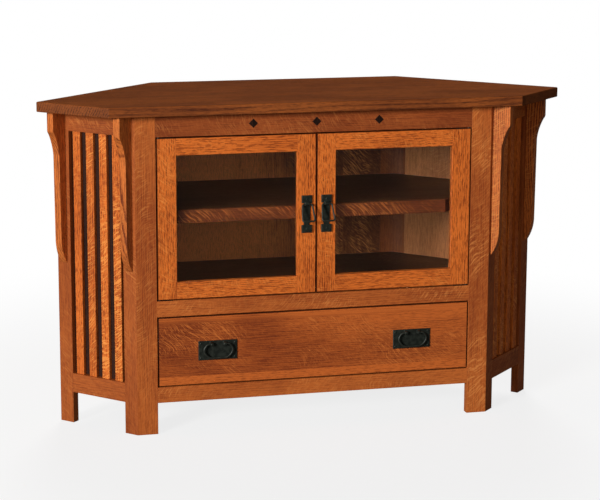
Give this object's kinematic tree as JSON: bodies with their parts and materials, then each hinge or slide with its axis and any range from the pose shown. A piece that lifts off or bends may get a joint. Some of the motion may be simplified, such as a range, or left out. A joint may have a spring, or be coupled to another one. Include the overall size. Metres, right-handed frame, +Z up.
{
  "type": "corner cabinet",
  "caption": "Free-standing oak corner media cabinet with slatted angled sides, bracketed overhanging top, glazed hinged doors above a wide drawer, and bail pulls.",
  "frame": {"origin": "on the floor, under the middle of the overall box in plan", "axes": "+X to the viewer's right along the front, +Y from the front to the back, +Z up"},
  "size_m": [1.3694, 0.5008, 0.8364],
  "materials": {
    "oak_frame": "quarter-sawn oak, red-brown stain, satin lacquer",
    "oak_top": "quarter-sawn oak, red-brown stain, satin lacquer",
    "oak_door": "quarter-sawn oak, orange-brown stain, satin lacquer",
    "oak_drawer": "quarter-sawn oak, orange-brown stain, satin lacquer",
    "oak_inside": "oak veneer and solid oak, brown stain, matt lacquer",
    "maple_box": "clear-lacquered maple",
    "dark_peg": "blackened hardwood",
    "clear_glass": "clear float glass",
    "blackened_metal": "hammered, blackened, faint green highlights",
    "zinc_steel": "zinc plated",
    "catch_plastic": "brown moulded plastic"
  },
  "bodies": {
    "case": {"back_legs": "oak_frame", "back_panel": "oak_inside", "back_rails": "oak_frame", "case_bottom": "oak_inside", "compartment_floor": "oak_inside", "diamond_pegs": "dark_peg", "door_catches": "catch_plastic", "drawer_supports": "oak_inside", "front_bottom_rail": "oak_frame", "front_middle_rail": "oak_frame", "front_top_rail": "oak_frame", "hinge_frame_leaves": "blackened_metal", "left_corbels": "oak_frame", "left_front_stile": "oak_frame", "left_side_front_stile": "oak_frame", "left_side_rails": "oak_frame", "left_side_rear_stile": "oak_frame", "left_side_slats": "oak_door", "outer_slide_members": "zinc_steel", "rear_side_panels": "oak_inside", "right_corbels": "oak_frame", "right_front_stile": "oak_frame", "right_side_front_stile": "oak_frame", "right_side_rails": "oak_frame", "right_side_rear_stile": "oak_frame", "right_side_slats": "oak_door", "shelf_board": "oak_inside", "shelf_cleats": "oak_inside", "shelf_front_lip": "oak_inside", "side_backing_panels": "oak_inside", "top_cleats": "oak_inside", "top_panel": "oak_top"},
    "left_door": {"left_door_beads": "oak_door", "left_door_glass": "clear_glass", "left_door_hinge_leaves": "blackened_metal", "left_door_pull_nails": "blackened_metal", "left_door_pull_plate": "blackened_metal", "left_door_rails": "oak_door", "left_door_stiles": "oak_door", "left_door_strike": "blackened_metal"},
    "left_door_bail": {"left_door_bail": "blackened_metal"},
    "right_door": {"right_door_beads": "oak_door", "right_door_glass": "clear_glass", "right_door_hinge_leaves": "blackened_metal", "right_door_pull_nails": "blackened_metal", "right_door_pull_plate": "blackened_metal", "right_door_rails": "oak_door", "right_door_stiles": "oak_door", "right_door_strike": "blackened_metal"},
    "right_door_bail": {"right_door_bail": "blackened_metal"},
    "drawer": {"drawer_front": "oak_drawer", "drawer_box_ends": "maple_box", "drawer_sides": "maple_box", "drawer_bottom": "maple_box", "drawer_pull_nails": "blackened_metal", "drawer_pull_plates": "blackened_metal", "inner_slide_members": "zinc_steel"},
    "slide_middles": {"middle_slide_members": "zinc_steel"},
    "left_drawer_bail": {"left_drawer_bail": "blackened_metal"},
    "right_drawer_bail": {"right_drawer_bail": "blackened_metal"}
  },
  "joints": [
    {"name": "left_door_hinge", "type": "hinge", "parent": "case", "child": "left_door", "pos_m": [-0.4005, -0.20855, 0.54925], "axis": [0, 0, -1], "range_deg": [0, 110]},
    {"name": "right_door_hinge", "type": "hinge", "parent": "case", "child": "right_door", "pos_m": [0.4005, -0.20855, 0.54925], "axis": [0, 0, 1], "range_deg": [0, 110]},
    {"name": "drawer_slide", "type": "slide", "parent": "case", "child": "drawer", "axis": [0, -1, 0], "range_m": [0, 0.32]},
    {"name": "slide_middle_travel", "type": "slide", "parent": "case", "child": "slide_middles", "axis": [0, -1, 0], "range_m": [0, 0.16]},
    {"name": "left_door_bail_swing", "type": "hinge", "parent": "left_door", "child": "left_door_bail", "pos_m": [-0.0255, -0.22105, 0.5755], "axis": [-1, 0, 0], "range_deg": [0, 90]},
    {"name": "right_door_bail_swing", "type": "hinge", "parent": "right_door", "child": "right_door_bail", "pos_m": [0.0255, -0.22105, 0.5755], "axis": [-1, 0, 0], "range_deg": [0, 90]},
    {"name": "left_drawer_bail_swing", "type": "hinge", "parent": "drawer", "child": "left_drawer_bail", "pos_m": [-0.2545, -0.22305, 0.22775], "axis": [-1, 0, 0], "range_deg": [0, 85]},
    {"name": "right_drawer_bail_swing", "type": "hinge", "parent": "drawer", "child": "right_drawer_bail", "pos_m": [0.2545, -0.22305, 0.22775], "axis": [-1, 0, 0], "range_deg": [0, 85]}
  ],
  "couplings": [
    {"joint": "slide_middle_travel", "follows": "drawer_slide", "ratio": 0.5}
  ]
}
